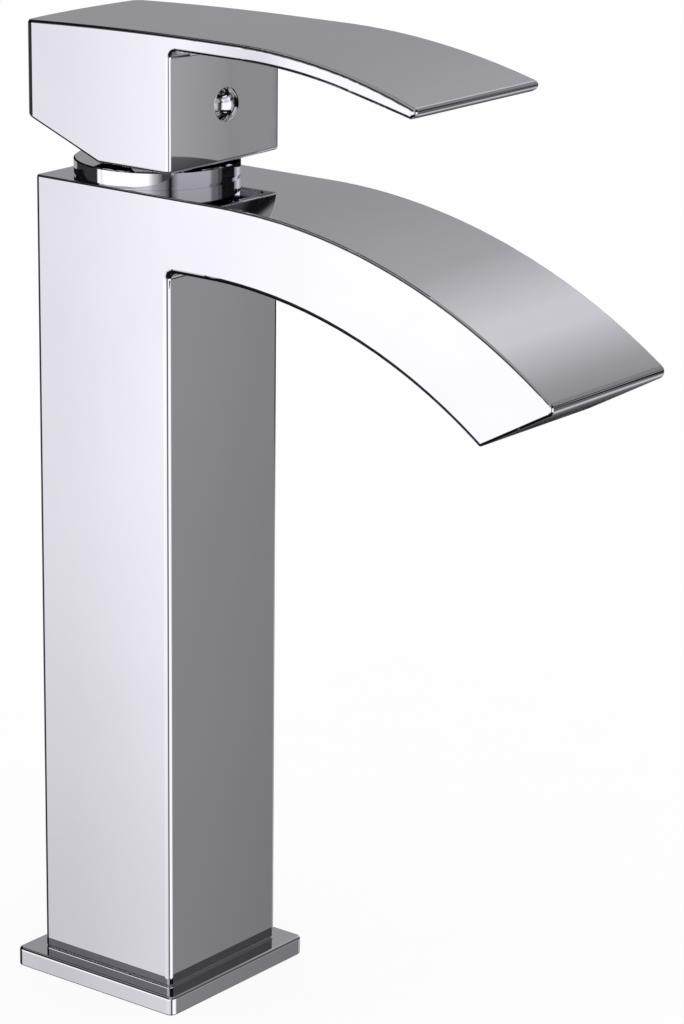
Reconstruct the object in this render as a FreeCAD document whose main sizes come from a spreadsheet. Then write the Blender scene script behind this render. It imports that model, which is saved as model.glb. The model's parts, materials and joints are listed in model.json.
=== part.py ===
import FreeCAD, Part
import os
import re

import Sketcher
from FreeCAD import Vector

# Single lever basin mixer, tall body with a curved flat spout. Millimetres, degrees.
# Origin: centre of the base plate's underside. +X runs to the spout, +Z up.

SIZES = [
    # Base plate
    ("base_step", 6.1, "base plate beyond the column's faces"),
    ("base_height", 5.8, "thickness of the base plate"),
    ("base_corner", 2.2, "rounding of the base plate's upright corners"),
    ("base_round", 0.9, "rounding of the base plate's upper edges"),
    ("base_under_round", 0.4, "rounding of the base plate's lower edges"),
    ("seal_margin", 1.2, "deck seal in from the screws' heads"),
    ("seal_land", 1.4, "base plate between the inlet block's foot and the seal"),
    ("seal_width", 2, "radial width of the deck seal"),
    ("seal_height", 2, "height of the deck seal"),
    ("screw_inset", 4.6, "base screws, in from the column's faces"),
    ("screw_radius", 2, "radius of the base screws' shanks"),
    ("screw_head_radius", 3.5, "radius of the base screws' heads"),
    ("screw_head_height", 3, "height of the base screws' heads"),
    ("screw_length", 14, "length of the base screws under the head"),
    ("screw_socket", 1.7, "corner radius of the base screws' hexagon sockets"),
    # Column
    ("column_side", 50.4, "side of the square column"),
    ("column_height", 241.4, "base plate to the flat top of the body"),
    ("column_wall", 3, "wall of the hollow column"),
    ("hollow_corner", 14, "corner radius of the hollow"),
    ("column_round", 1.7, "rounding of the column's upright edges"),
    ("foot_round", 0.7, "rounding of the column's foot"),
    ("edge_round", 0.8, "rounding of the body's other outer edges"),
    ("inner_round", 2.3, "rounding between column and spout"),
    # Spout
    ("spout_depth", 21.9, "thickness of the spout where it leaves the column"),
    ("spout_reach", 161.7, "column axis to the spout's upper lip, before it is rounded"),
    ("spout_tip_back", 26.3, "lower lip behind the upper lip"),
    ("lip_round", 2.2, "rounding of the spout's upper lip"),
    ("spout_top_straight", 20, "flat run of the top in front of the column"),
    ("spout_top_radius", 195, "curve of the spout's top"),
    ("spout_under_straight", 13.5, "flat run of the underside"),
    ("spout_under_radius", 166, "curve of the spout's underside"),
    ("spout_flare", 2, "widening of each side at the lip"),
    ("spout_floor", 3.2, "wall under the waterway"),
    ("spout_roof", 7, "wall over the waterway"),
    ("waterway_width", 36, "width of the waterway"),
    ("outlet_rim", 4.5, "end face under the outlet"),
    ("outlet_slot", 14, "outlet along the end face"),
    ("outlet_depth", 9, "depth of the outlet"),
    ("outlet_width", 42, "width of the outlet"),
    ("straightener_recess", 0.6, "straightener behind the end face"),
    ("straightener_rim", 2, "frame of the straightener"),
    ("fin_pitch", 3.4, "spacing of the straightener's channels"),
    ("fin_thickness", 1.1, "wall between the straightener's channels"),
    # Supply
    ("port_x", 2, "inlets ahead of the column axis"),
    ("port_y", 7.5, "inlets either side of the centre"),
    ("inlet_radius", 4.5, "tapped inlet wall"),
    ("inlet_depth", 10, "depth of the tapped inlets"),
    ("stud_wall", 5.6, "inlet block behind the fixing stud"),
    ("stud_radius", 3.4, "tapped stud hole wall"),
    ("block_height", 16, "inlet block above the base plate"),
    ("riser_radius", 5, "outside of the riser tubes"),
    ("riser_wall", 1, "wall of the riser tubes"),
    ("riser_socket", 8, "depth of the riser sockets"),
    ("gland_width", 1.7, "radial room for a riser seal"),
    ("gland_height", 1.9, "height of a riser seal's gland"),
    ("gland_inset", 3, "gland in from the socket's mouth"),
    # Cartridge chamber
    ("cartridge_drop", 45.2, "body top to the cartridge seat"),
    ("seat_depth", 2, "depth of the locating recess"),
    ("seat_web", 4, "wall between the riser sockets and the cartridge seat"),
    ("chamber_radius", 20, "radius of the mixing chamber"),
    ("thread_radius", 20.5, "radius of the lock nut's thread"),
    ("thread_length", 6.2, "length of the lock nut's thread"),
    # Cartridge
    ("housing_radius", 17.5, "outside of the cartridge housing"),
    ("housing_shoulder", 34, "seat to the housing's shoulder"),
    ("neck_radius", 14, "outside of the housing's neck"),
    ("neck_height", 14, "neck above the shoulder"),
    ("disc_bore_radius", 15.2, "housing bore around the discs"),
    ("ledge_height", 24, "seat to the ledge over the rotor"),
    ("foot_radius", 15.9, "radius of the cartridge foot"),
    ("foot_thickness", 5, "thickness of the cartridge foot"),
    ("outlet_channel", 6, "width of the foot's outlet channel"),
    ("outlet_channel_depth", 3, "depth of the foot's outlet channel"),
    ("port_radius", 2.8, "radius of the inlet ports"),
    ("port_seal_section", 0.8, "section radius of the port seals"),
    ("port_seal_wall", 0.5, "wall between a port and its seal"),
    ("outlet_port_x", 6, "outlet port behind the axis"),
    ("outlet_port_radius", 3, "radius of the outlet port"),
    ("fixed_disc_height", 4, "thickness of the fixed disc"),
    ("moving_disc_height", 4, "thickness of the moving disc"),
    ("moving_disc_radius", 11.8, "radius of the moving disc"),
    ("pocket_length", 7.5, "mixing pocket along the slide"),
    ("pocket_width", 14, "mixing pocket across the slide"),
    ("pocket_depth", 2, "depth of the mixing pocket"),
    ("pocket_back", 11, "mixing pocket's rear edge behind the axis"),
    ("carrier_height", 6, "thickness of the disc carrier"),
    ("carrier_boss_wall", 1.3, "wall around the stem's ball"),
    ("rotor_radius", 12.3, "radius of the rotor in the neck"),
    ("rotor_flange_radius", 14.8, "radius of the rotor's flange"),
    ("rotor_rise", 0.5, "rotor above the neck"),
    ("rotor_seal_drop", 4, "rotor seal below the rotor's top"),
    ("rotor_seal_section", 0.7, "section radius of the rotor seal"),
    ("limit_ring_height", 1.3, "height of the hot limit ring"),
    ("limit_stop_width", 6, "gap in the hot limit ring"),
    # Lock nut and bonnet
    ("nut_collar_radius", 19.4, "collar of the lock nut"),
    ("nut_collar_height", 3, "collar above the body"),
    ("nut_nose_radius", 19.6, "nose of the lock nut in the chamber"),
    ("nut_slot", 4, "width of the spanner slots"),
    ("nut_seal_section", 0.8, "section radius of the nut's seals"),
    ("bonnet_radius", 24.3, "outside of the bonnet ring"),
    ("bonnet_bore", 20, "bore of the bonnet ring"),
    ("bonnet_wall_height", 4.5, "straight wall of the bonnet ring"),
    ("bonnet_bevel_width", 0.5, "bevel of the bonnet ring, across"),
    ("bonnet_bevel_height", 0.35, "bevel of the bonnet ring, up"),
    ("bonnet_rise", 1.4, "dome above the bevel"),
    ("bonnet_opening", 10.5, "opening for the stem"),
    ("bonnet_shell", 1.3, "shell of the dome"),
    ("bonnet_foot_step", 0.6, "bonnet ring's foot in from its wall"),
    ("bonnet_foot_height", 0.5, "height of the bonnet ring's foot"),
    # Lever
    ("lift_angle", 20, "lift of the lever from shut to full flow"),
    ("chamfer_slack", 1, "rear chamfer beyond the lift angle"),
    ("pivot_height", 42, "seat to the lever's pivot"),
    ("pin_radius", 1.5, "radius of the pivot pin"),
    ("bush_wall", 0.7, "wall of the stem's bush"),
    ("stem_throw", 15, "pivot to the centre of the stem's ball"),
    ("stem_side", 7, "side of the square stem"),
    ("stem_neck_radius", 1.7, "neck of the stem above its ball"),
    ("stem_square_drop", 7, "square of the stem below the pivot"),
    ("ball_radius", 3, "radius of the stem's ball"),
    ("handle_gap", 6.3, "body top to the handle's underside"),
    ("handle_height", 39.9, "underside to the crest of the handle's top"),
    ("handle_width", 49.4, "width of the handle block"),
    ("handle_front", 26, "front face ahead of the axis"),
    ("handle_crown", 0.6, "bulge of the front face"),
    ("handle_back", 30.8, "rear face behind the axis"),
    ("handle_bow", 2, "bulge of the rear face"),
    ("handle_top_radius", 1300, "fall of the top to the rear"),
    ("chamfer_start", 1.3, "rear chamfer behind the axis"),
    ("handle_wall", 2, "side and rear walls of the handle"),
    ("handle_front_wall", 3, "front wall of the handle"),
    ("handle_roof", 4.5, "roof of the handle"),
    ("handle_corner", 3, "corner radius inside the handle"),
    ("handle_rear_round", 3.2, "rounding of the upright rear edges"),
    ("handle_round", 1.1, "rounding of the handle's other edges"),
    ("lever_round", 2.7, "rounding under the lever's root"),
    ("lever_thickness", 4.6, "thickness of the lever"),
    ("lever_straight", 24, "flat run of the lever"),
    ("crest_run", 14, "flat run of the top ahead of its fall to the rear"),
    ("lever_radius", 218, "curve of the lever's top"),
    ("lever_reach", 116.4, "axis to the lever's tip"),
    ("lever_tip_back", 3.8, "lower tip edge behind the upper"),
    ("lever_end", 22, "straight end of the lever's underside"),
    ("tip_round", 1.4, "rounding of the lever's tip"),
    ("lever_flare", 4.2, "widening of each side at the tip"),
    ("boss_radius", 8, "stem boss in the handle"),
    ("boss_gap", 6.5, "underside to the stem boss"),
    ("rib_width", 9, "rib around the grub screw"),
    ("rib_drop", 5, "rib below the grub screw"),
    ("screw_height", 16.85, "underside to the grub screw's axis"),
    ("stem_over_screw", 7.4, "stem above the grub screw"),
    ("grub_radius", 2.5, "radius of the grub screw"),
    ("grub_length", 14, "length of the grub screw"),
    ("grub_socket", 1.4, "corner radius of the grub screw's socket"),
    ("grub_socket_depth", 3, "depth of the grub screw's socket"),
    ("cap_radius", 5.05, "radius of the screw cap's dome"),
    ("cap_height", 2.7, "height of the screw cap's dome"),
    ("cap_spigot_radius", 4.4, "spigot of the screw cap"),
    ("cap_spigot_length", 4, "length of the screw cap's spigot"),
    # Clearances
    ("press_gap", 0.05, "between pieces that are pressed or screwed together"),
    ("slide_gap", 0.15, "between pieces that slide on each other"),
    ("running_fit", 0.06, "radial clearance of turning fits"),
    ("ball_gap", 0.35, "around the stem's ball in the disc carrier"),
    ("part_gap", 0.3, "between pieces that move past each other"),
]

NAMES = {name for name, value, note in SIZES}

# Heights and places worked out from the sizes
TOP = "(base_height + column_height)"
UNDER = f"({TOP} - spout_depth)"
HALF = "(column_side / 2)"
TOP_ARC_X = f"({HALF} + spout_top_straight)"
UNDER_ARC_X = f"({HALF} + spout_under_straight)"
TIP_LOW_X = "(spout_reach - spout_tip_back)"
TOP_ARC_Z = f"({TOP} - spout_top_radius)"
UNDER_ARC_Z = f"({UNDER} - spout_under_radius)"
TIP_TOP_Z = f"({TOP_ARC_Z} + sqrt(spout_top_radius ^ 2 - (spout_reach - {TOP_ARC_X}) ^ 2))"
TIP_LOW_Z = f"({UNDER_ARC_Z} + sqrt(spout_under_radius ^ 2 - ({TIP_LOW_X} - {UNDER_ARC_X}) ^ 2))"
TIP_RISE = f"({TIP_TOP_Z} - {TIP_LOW_Z})"
TIP_LENGTH = f"sqrt(spout_tip_back ^ 2 + {TIP_RISE} ^ 2)"
HOLLOW_HALF = f"({HALF} - column_wall)"
SCREW_XY = f"({HALF} - screw_inset)"
SEAL_OUTER = f"({SCREW_XY} * sqrt(2) - screw_head_radius - seal_margin)"
SEAL_INNER = f"({SEAL_OUTER} - seal_width)"
SPIGOT = f"({SEAL_INNER} - seal_land)"
STUD_X = f"({SPIGOT} - stud_wall - stud_radius)"
BLOCK_TOP = "(base_height + block_height)"
SEAT = f"({TOP} - cartridge_drop)"
HOLLOW_TOP = f"({SEAT} - seat_web - riser_socket)"
THREAD_LOW = f"({TOP} - thread_length)"
SHOULDER = f"({SEAT} + housing_shoulder)"
NECK_TOP = f"({SHOULDER} + neck_height)"
LEDGE = f"({SEAT} + ledge_height)"
NECK_BORE = "(rotor_radius + running_fit)"
FOOT_TOP = f"({SEAT} + foot_thickness)"
FIXED_TOP = f"({FOOT_TOP} + fixed_disc_height)"
MOVING_LOW = f"({FIXED_TOP} + press_gap)"
MOVING_TOP = f"({MOVING_LOW} + moving_disc_height)"
CARRIER_TOP = f"({MOVING_TOP} + carrier_height)"
ROTOR_LOW = f"({CARRIER_TOP} + part_gap)"
ROTOR_LEDGE = f"({LEDGE} - part_gap)"
ROTOR_TOP = f"({NECK_TOP} + rotor_rise)"
PIVOT = f"({SEAT} + pivot_height)"
BALL = f"({PIVOT} - stem_throw)"
TRAVEL = "(stem_throw * sin(lift_angle))"
SOCKET_RADIUS = "(ball_radius + ball_gap)"
BOSS_HALF = f"({SOCKET_RADIUS} + carrier_boss_wall)"
BOSS_TOP = f"({BALL} + ball_radius / 2)"
CAVITY_TOP = f"({PIVOT} - stem_throw * cos(lift_angle) + ball_radius + part_gap)"
PORT_SEAL_RING = "(port_radius + port_seal_wall + port_seal_section)"
COLLAR_TOP = f"({TOP} + nut_collar_height)"
BEVEL_LOW = f"({TOP} + bonnet_wall_height)"
BEVEL_TOP = f"({BEVEL_LOW} + bonnet_bevel_height)"
DOME_TOP = f"({BEVEL_TOP} + bonnet_rise)"
HANDLE_UNDER = f"({TOP} + handle_gap)"
HANDLE_TOP = f"({HANDLE_UNDER} + handle_height)"
REAR = "(handle_back + handle_bow)"
CHAMFER_TOP = f"({HANDLE_UNDER} + ({REAR} - chamfer_start) * tan(lift_angle + chamfer_slack))"
LEVER_UNDER = f"({HANDLE_TOP} - lever_thickness)"
LEVER_ARC_X = "(handle_front + lever_straight)"
LEVER_ARC_Z = f"({HANDLE_TOP} - lever_radius)"
CREST_X = f"({LEVER_ARC_X} - crest_run)"
CREST_Z = f"({HANDLE_TOP} - handle_top_radius)"
REAR_TOP = f"({CREST_Z} + sqrt(handle_top_radius ^ 2 - ({CREST_X} + {REAR}) ^ 2))"
LEVER_LOW_RADIUS = "(lever_radius - lever_thickness)"
LEVER_LOW_X = "(lever_reach - lever_tip_back)"
LEVER_END_X = f"({LEVER_LOW_X} - lever_end)"
LEVER_END_ARM = f"sqrt({LEVER_LOW_RADIUS} ^ 2 - ({LEVER_END_X} - {LEVER_ARC_X}) ^ 2)"
ROOF = f"({HANDLE_TOP} - handle_roof)"
BOSS_LOW = f"({HANDLE_UNDER} + boss_gap)"
SCREW_Z = f"({HANDLE_UNDER} + screw_height)"
STEM_TOP = f"({SCREW_Z} + stem_over_screw)"
MARGIN = "(column_side / 10)"

# Hot water comes in on the left of someone who faces the spout
SUPPLIES = {"hot": "-port_y", "cold": "port_y"}

doc = FreeCAD.newDocument("basin_mixer")
sheet = doc.addObject("Spreadsheet::Sheet", "Sizes")
for row, (name, value, note) in enumerate(SIZES, start=1):
    sheet.set(f"A{row}", note)
    sheet.set(f"B{row}", str(value))
    sheet.setAlias(f"B{row}", name)
doc.recompute()

subparts = []


def link(text):
    """The expression with each size written as a cell of the sheet."""
    return re.sub(r"[a-z][a-z_]+", lambda m: "Sizes." + m.group() if m.group() in NAMES else m.group(), text)


def size(text):
    """The value of an expression of the sizes."""
    return float(sheet.evalExpression(text))


def bind(item, prop, text):
    item.setExpression(prop, link(text))


def place(item, x="0", y="0", z="0"):
    for axis, text in zip("xyz", (x, y, z)):
        bind(item, f"Placement.Base.{axis}", text)


def keep(item, label):
    """Marks a finished piece of the mixer."""
    item.Label = label
    subparts.append(item)
    return item


# Sketches and features


def origin_feature(body, role):
    return next(f for f in body.Origin.OriginFeatures if f.Role == role)


def new_sketch(body, role, depth="0"):
    """A sketch on one of the body's own planes, moved along the plane's normal."""
    sketch = body.newObject("Sketcher::SketchObject", body.Name + "_sketch")
    sketch.AttachmentSupport = [(origin_feature(body, role), "")]
    sketch.MapMode = "FlatFace"
    if depth != "0":
        bind(sketch, "AttachmentOffset.Base.z", depth)
    return sketch


def hold(sketch, kind, geometry, point, text):
    """Holds a point's distance from the sketch's origin at an expression."""
    index = sketch.addConstraint(Sketcher.Constraint(kind, -1, 1, geometry, point, size(text)))
    if text != "0":
        bind(sketch, f"Constraints[{index}]", text)


def hold_radius(sketch, geometry, text):
    index = sketch.addConstraint(Sketcher.Constraint("Radius", geometry, size(text)))
    bind(sketch, f"Constraints[{index}]", text)


def add_circle(sketch, x, y, radius):
    centre = Vector(size(x), size(y), 0)
    index = sketch.addGeometry(Part.Circle(centre, Vector(0, 0, 1), size(radius)), False)
    hold(sketch, "DistanceX", index, 3, x)
    hold(sketch, "DistanceY", index, 3, y)
    hold_radius(sketch, index, radius)


def add_outline(sketch, corners, arcs=None):
    """A closed outline. arcs gives the centre x, centre y, radius and sense of the sides that are round."""
    arcs = arcs or {}
    count = len(corners)
    spots = [Vector(size(x), size(y), 0) for x, y in corners]
    ends = []
    for side in range(count):
        start, stop = spots[side], spots[(side + 1) % count]
        if side not in arcs:
            index = sketch.addGeometry(Part.LineSegment(start, stop), False)
            ends.append((index, 1, 2))
            continue
        x, y, radius, sense = arcs[side]
        centre = Vector(size(x), size(y), 0)
        first, last = (start, stop) if sense > 0 else (stop, start)
        circle = Part.Circle(centre, Vector(0, 0, 1), size(radius))
        arc = Part.ArcOfCircle(circle, circle.parameter(first), circle.parameter(last))
        index = sketch.addGeometry(arc, False)
        ends.append((index, 1, 2) if sense > 0 else (index, 2, 1))
        hold(sketch, "DistanceX", index, 3, x)
        hold(sketch, "DistanceY", index, 3, y)
        hold_radius(sketch, index, radius)
    for corner in range(count):
        index, start, _ = ends[corner]
        before, _, stop = ends[corner - 1]
        sketch.addConstraint(Sketcher.Constraint("Coincident", before, stop, index, start))
        x, y = corners[corner]
        round_side = next((s for s in (corner, (corner - 1) % count) if s in arcs), None)
        kinds = ["DistanceX", "DistanceY"]
        if round_side is not None:
            arm = spots[corner] - Vector(size(arcs[round_side][0]), size(arcs[round_side][1]), 0)
            kinds = ["DistanceX"] if abs(arm.x) < abs(arm.y) else ["DistanceY"]
        for kind in kinds:
            hold(sketch, kind, index, start, x if kind == "DistanceX" else y)


def add_box(sketch, low_x, low_y, high_x, high_y):
    add_outline(sketch, [(low_x, low_y), (high_x, low_y), (high_x, high_y), (low_x, high_y)])


def add_rounded_box(sketch, low_x, low_y, high_x, high_y, corner):
    """A box outline with round corners, anticlockwise from the lower left."""
    corners = [
        (f"{low_x} + {corner}", low_y), (f"{high_x} - {corner}", low_y),
        (high_x, f"{low_y} + {corner}"), (high_x, f"{high_y} - {corner}"),
        (f"{high_x} - {corner}", high_y), (f"{low_x} + {corner}", high_y),
        (low_x, f"{high_y} - {corner}"), (low_x, f"{low_y} + {corner}"),
    ]
    near_x, far_x = f"{low_x} + {corner}", f"{high_x} - {corner}"
    near_y, far_y = f"{low_y} + {corner}", f"{high_y} - {corner}"
    arcs = {
        1: (far_x, near_y, corner, 1), 3: (far_x, far_y, corner, 1),
        5: (near_x, far_y, corner, 1), 7: (near_x, near_y, corner, 1),
    }
    add_outline(sketch, corners, arcs)


def extrude(body, kind, sketch, length, way="forward"):
    """A pad or pocket of a sketch: forward along the plane's normal, back against it, or both ways."""
    feature = body.newObject("PartDesign::" + kind, body.Name + "_" + kind.lower())
    feature.Profile = sketch
    if length == "through":
        feature.Type = "ThroughAll"
    else:
        bind(feature, "Length", length)
    if way == "both":
        feature.SideType = "Symmetric"
    else:
        feature.Reversed = (way == "back") != (kind == "Pocket")
    body.Tip = feature
    return feature


def turn(body, kind, sketch, axis="Z_Axis"):
    """A revolution or groove of a sketch, all the way round."""
    feature = body.newObject("PartDesign::" + kind, body.Name + "_" + kind.lower())
    feature.Profile = sketch
    feature.ReferenceAxis = (sketch, [axis]) if axis == "H_Axis" else (origin_feature(body, axis), [""])
    feature.Angle = 360
    body.Tip = feature
    return feature


def turned_body(label, corners):
    """A piece turned about the Z axis from corners of radius and height."""
    body = doc.addObject("PartDesign::Body", label)
    sketch = new_sketch(body, "XZ_Plane")
    add_outline(sketch, corners)
    turn(body, "Revolution", sketch)
    return keep(body, label)


def bore(body, x, y, radius, low, depth):
    """A round hole upwards from a height."""
    sketch = new_sketch(body, "XY_Plane", low)
    add_circle(sketch, x, y, radius)
    extrude(body, "Pocket", sketch, depth)


def is_sharp(shape, edge):
    """True where the two faces at an edge meet at an angle."""
    faces = shape.ancestorsOfType(edge, Part.Face)
    if len(faces) != 2:
        return False
    spot = edge.valueAt((edge.FirstParameter + edge.LastParameter) / 2)
    normals = [face.normalAt(*face.Surface.parameter(spot)) for face in faces]
    return normals[0].getAngle(normals[1]) > 0.2


def round_edges(body, radius, wanted):
    """Rounds the sharp edges that pass a test."""
    doc.recompute()
    base = body.Tip
    shape = base.Shape
    numbered = enumerate(shape.Edges, start=1)
    edges = [f"Edge{n}" for n, edge in numbered if is_sharp(shape, edge) and wanted(edge)]
    feature = body.newObject("PartDesign::Fillet", body.Name + "_round")
    feature.Base = (base, edges)
    bind(feature, "Radius", radius)
    body.Tip = feature
    return feature


def is_upright(edge):
    """True for a long straight edge along Z."""
    box = edge.BoundBox
    return box.ZLength > 10 and box.XLength < 0.05 and box.YLength < 0.05


def flare_sides(body, half, back, start_x, reach, flare):
    """Trims both sides to a straight run and a slight outward curve that ends at the tip."""
    sweep = f"((({reach} - {start_x}) ^ 2 + {flare} ^ 2) / (2 * {flare}))"
    rear = f"(-{back} - {MARGIN})"
    front = f"({reach} + {MARGIN})"
    wide = f"({half} + {flare} + 2 * {MARGIN})"
    front_y = f"({half} + {sweep} - sqrt({sweep} ^ 2 - ({front} - {start_x}) ^ 2))"
    sketch = new_sketch(body, "XY_Plane")
    for sign, sense in (("", 1), ("-", -1)):
        corners = [
            (rear, f"{sign}{half}"), (start_x, f"{sign}{half}"), (front, f"{sign}{front_y}"),
            (front, f"{sign}{wide}"), (rear, f"{sign}{wide}"),
        ]
        add_outline(sketch, corners, {1: (start_x, f"{sign}({half} + {sweep})", sweep, sense)})
    extrude(body, "Pocket", sketch, "through", "both")


# Primitives


def cylinder(label, radius, height, x="0", y="0", z="0"):
    item = doc.addObject("Part::Cylinder", label)
    bind(item, "Radius", radius)
    bind(item, "Height", height)
    place(item, x, y, z)
    return item


def ring(label, ring_radius, section_radius, x="0", y="0", z="0"):
    """A seal of round section."""
    item = doc.addObject("Part::Torus", label)
    bind(item, "Radius1", ring_radius)
    bind(item, "Radius2", section_radius)
    place(item, x, y, z)
    return item


def hexagon(label, corner_radius, height, x="0", y="0", z="0"):
    item = doc.addObject("Part::Prism", label)
    item.Polygon = 6
    bind(item, "Circumradius", corner_radius)
    bind(item, "Height", height)
    place(item, x, y, z)
    return item


def cut(label, base, tool):
    item = doc.addObject("Part::Cut", label)
    item.Base, item.Tool = base, tool
    return item


def fuse(label, items):
    item = doc.addObject("Part::MultiFuse", label)
    item.Shapes = items
    return item


def group(label, items):
    """Separate solids under one name."""
    item = doc.addObject("Part::Compound", label)
    item.Links = items
    return keep(item, label)


# The body: column and spout in one casting


def make_tap_body():
    body = doc.addObject("PartDesign::Body", "tap_body")
    side = new_sketch(body, "XZ_Plane")
    corners = [
        (f"-{HALF}", "base_height"), (HALF, "base_height"), (HALF, UNDER), (UNDER_ARC_X, UNDER),
        (TIP_LOW_X, TIP_LOW_Z), ("spout_reach", TIP_TOP_Z), (TOP_ARC_X, TOP), (f"-{HALF}", TOP),
    ]
    arcs = {
        3: (UNDER_ARC_X, UNDER_ARC_Z, "spout_under_radius", -1),
        5: (TOP_ARC_X, TOP_ARC_Z, "spout_top_radius", 1),
    }
    add_outline(side, corners, arcs)
    extrude(body, "Pad", side, f"column_side + 2 * spout_flare + 2 * {MARGIN}", "both")
    flare_sides(body, HALF, HALF, HALF, "spout_reach", "spout_flare")
    foot = size("base_height")
    corner = Vector(size(HALF), 0, size(UNDER))
    lip = Vector(size("spout_reach"), 0, size(TIP_TOP_Z))
    round_edges(body, "inner_round", lambda edge: edge.CenterOfMass.distanceToPoint(corner) < 0.01)
    round_edges(body, "lip_round", lambda edge: edge.CenterOfMass.distanceToPoint(lip) < 0.01)
    round_edges(body, "column_round", is_upright)
    round_edges(body, "edge_round", lambda edge: edge.BoundBox.ZMax > foot + 0.01)
    round_edges(body, "foot_round", lambda edge: edge.BoundBox.ZMax < foot + 0.01)
    hollow = new_sketch(body, "XY_Plane", "base_height")
    add_rounded_box(hollow, f"-{HOLLOW_HALF}", f"-{HOLLOW_HALF}", HOLLOW_HALF, HOLLOW_HALF, "hollow_corner")
    extrude(body, "Pocket", hollow, f"{HOLLOW_TOP} - base_height")
    chamber = new_sketch(body, "XZ_Plane")
    recess, thread = "(housing_radius + press_gap)", "(thread_radius + press_gap)"
    floor, mouth = f"({SEAT} + seat_depth)", f"({TOP} + {MARGIN})"
    add_outline(chamber, [
        ("0", SEAT), (recess, SEAT), (recess, floor), ("chamber_radius", floor),
        ("chamber_radius", THREAD_LOW), (thread, THREAD_LOW), (thread, mouth), ("0", mouth),
    ])
    turn(body, "Groove", chamber)
    make_waterway(body)
    for sign in ("", "-"):
        y = f"{sign}port_y"
        socket = "(riser_radius + press_gap)"
        bore(body, "port_x", y, "port_radius", HOLLOW_TOP, f"{SEAT} - {HOLLOW_TOP}")
        bore(body, "port_x", y, socket, HOLLOW_TOP, "riser_socket")
        bore(body, "port_x", y, "riser_radius + gland_width", f"{HOLLOW_TOP} + gland_inset", "gland_height")
        for x in (SCREW_XY, f"-{SCREW_XY}"):
            bore(body, x, f"{sign}{SCREW_XY}", "screw_radius + press_gap", "base_height", "screw_length")
    return keep(body, "tap_body")


def end_face_point(along, inward):
    """A point by its distance along the spout's end face from the lower lip, and its depth behind it."""
    x = f"({TIP_LOW_X} + (({along}) * spout_tip_back - ({inward}) * {TIP_RISE}) / {TIP_LENGTH})"
    z = f"({TIP_LOW_Z} + (({along}) * {TIP_RISE} + ({inward}) * spout_tip_back) / {TIP_LENGTH})"
    return x, z


def end_face_box(sketch, low, high, shallow, deep):
    add_outline(sketch, [
        end_face_point(low, shallow), end_face_point(high, shallow),
        end_face_point(high, deep), end_face_point(low, deep),
    ])


def make_waterway(body):
    floor_radius = "(spout_under_radius + spout_floor)"
    roof_radius = "(spout_top_radius - spout_roof)"
    start_x = "(chamber_radius * 0.5)"
    floor_z, roof_z = f"({UNDER} + spout_floor)", f"({TOP} - spout_roof)"
    floor_end = f"({UNDER_ARC_Z} + sqrt({floor_radius} ^ 2 - ({TIP_LOW_X} - {UNDER_ARC_X}) ^ 2))"
    roof_end = f"({TOP_ARC_Z} + sqrt({roof_radius} ^ 2 - ({TIP_LOW_X} - {TOP_ARC_X}) ^ 2))"
    channel = new_sketch(body, "XZ_Plane")
    corners = [
        (start_x, floor_z), (UNDER_ARC_X, floor_z), (TIP_LOW_X, floor_end),
        (TIP_LOW_X, roof_end), (TOP_ARC_X, roof_z), (start_x, roof_z),
    ]
    arcs = {
        1: (UNDER_ARC_X, UNDER_ARC_Z, floor_radius, -1),
        3: (TOP_ARC_X, TOP_ARC_Z, roof_radius, 1),
    }
    add_outline(channel, corners, arcs)
    extrude(body, "Pocket", channel, "waterway_width", "both")
    outlet = new_sketch(body, "XZ_Plane")
    end_face_box(outlet, "outlet_rim", "outlet_rim + outlet_slot", f"-{MARGIN}", "outlet_depth")
    extrude(body, "Pocket", outlet, "outlet_width", "both")


def make_flow_straightener():
    """The framed grid in the outlet, with channels side by side across the spout."""
    body = doc.addObject("PartDesign::Body", "flow_straightener")
    low, high = "(outlet_rim + press_gap)", "(outlet_rim + outlet_slot - press_gap)"
    width = "(outlet_width - 2 * press_gap)"
    block = new_sketch(body, "XZ_Plane")
    end_face_box(block, low, high, "straightener_recess", "outlet_depth - press_gap")
    extrude(body, "Pad", block, width, "both")
    room = size(f"{width} - 2 * straightener_rim")
    channels = int((room + size("fin_thickness")) // size("fin_pitch"))
    first = f"(-fin_pitch * {(channels - 1) / 2})"
    channel = new_sketch(body, "XZ_Plane", f"-{first}")
    near, far = f"{low} + straightener_rim", f"{high} - straightener_rim"
    end_face_box(channel, near, far, f"-{MARGIN}", f"outlet_depth + {MARGIN}")
    slot = extrude(body, "Pocket", channel, "fin_pitch - fin_thickness", "both")
    row = body.newObject("PartDesign::LinearPattern", "straightener_channels")
    row.Originals = [slot]
    row.Direction = (origin_feature(body, "Y_Axis"), [""])
    row.Occurrences = channels
    bind(row, "Length", f"fin_pitch * {channels - 1}")
    body.Tip = row
    return keep(body, "flow_straightener")


# The base: plate, seal, screws and inlet block


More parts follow.
